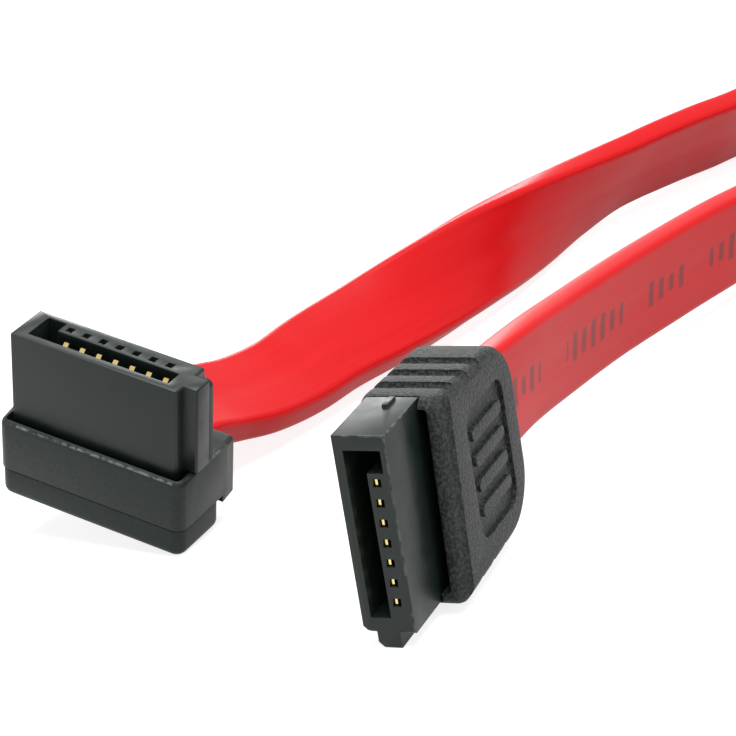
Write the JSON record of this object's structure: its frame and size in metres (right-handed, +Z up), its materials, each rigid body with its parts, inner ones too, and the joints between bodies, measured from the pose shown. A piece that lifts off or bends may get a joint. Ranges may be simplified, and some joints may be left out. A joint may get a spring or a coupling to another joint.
{
  "type": "sata data cable",
  "caption": "Flat red data ribbon with a straight plug on one end and a right-angle plug on the other; each plug has a keyed slot with gold contacts.",
  "frame": {"origin": "on the table, midway between the outer sides of the two plugs", "axes": "+Z up, -Y the way the straight plug is pushed into its socket, +X the contact side of the straight plug"},
  "size_m": [0.0587, 0.1974, 0.0154],
  "materials": {
    "jacket_pvc": "smooth red PVC with a soft sheen",
    "nose_plastic": "satin black moulded insulator",
    "grip_plastic": "black moulding with a fine spark-eroded grain",
    "contact_gold": "gold-plated stamped strip"
  },
  "bodies": {
    "root": {"ribbon_jacket": "jacket_pvc", "straight_nose": "nose_plastic", "straight_grip": "grip_plastic", "straight_contact_1": "contact_gold", "straight_contact_2": "contact_gold", "straight_contact_3": "contact_gold", "straight_contact_4": "contact_gold", "straight_contact_5": "contact_gold", "straight_contact_6": "contact_gold", "straight_contact_7": "contact_gold", "angled_nose": "nose_plastic", "angled_shell": "grip_plastic", "angled_cover": "grip_plastic", "angled_contact_1": "contact_gold", "angled_contact_2": "contact_gold", "angled_contact_3": "contact_gold", "angled_contact_4": "contact_gold", "angled_contact_5": "contact_gold", "angled_contact_6": "contact_gold", "angled_contact_7": "contact_gold"}
  },
  "joints": []
}
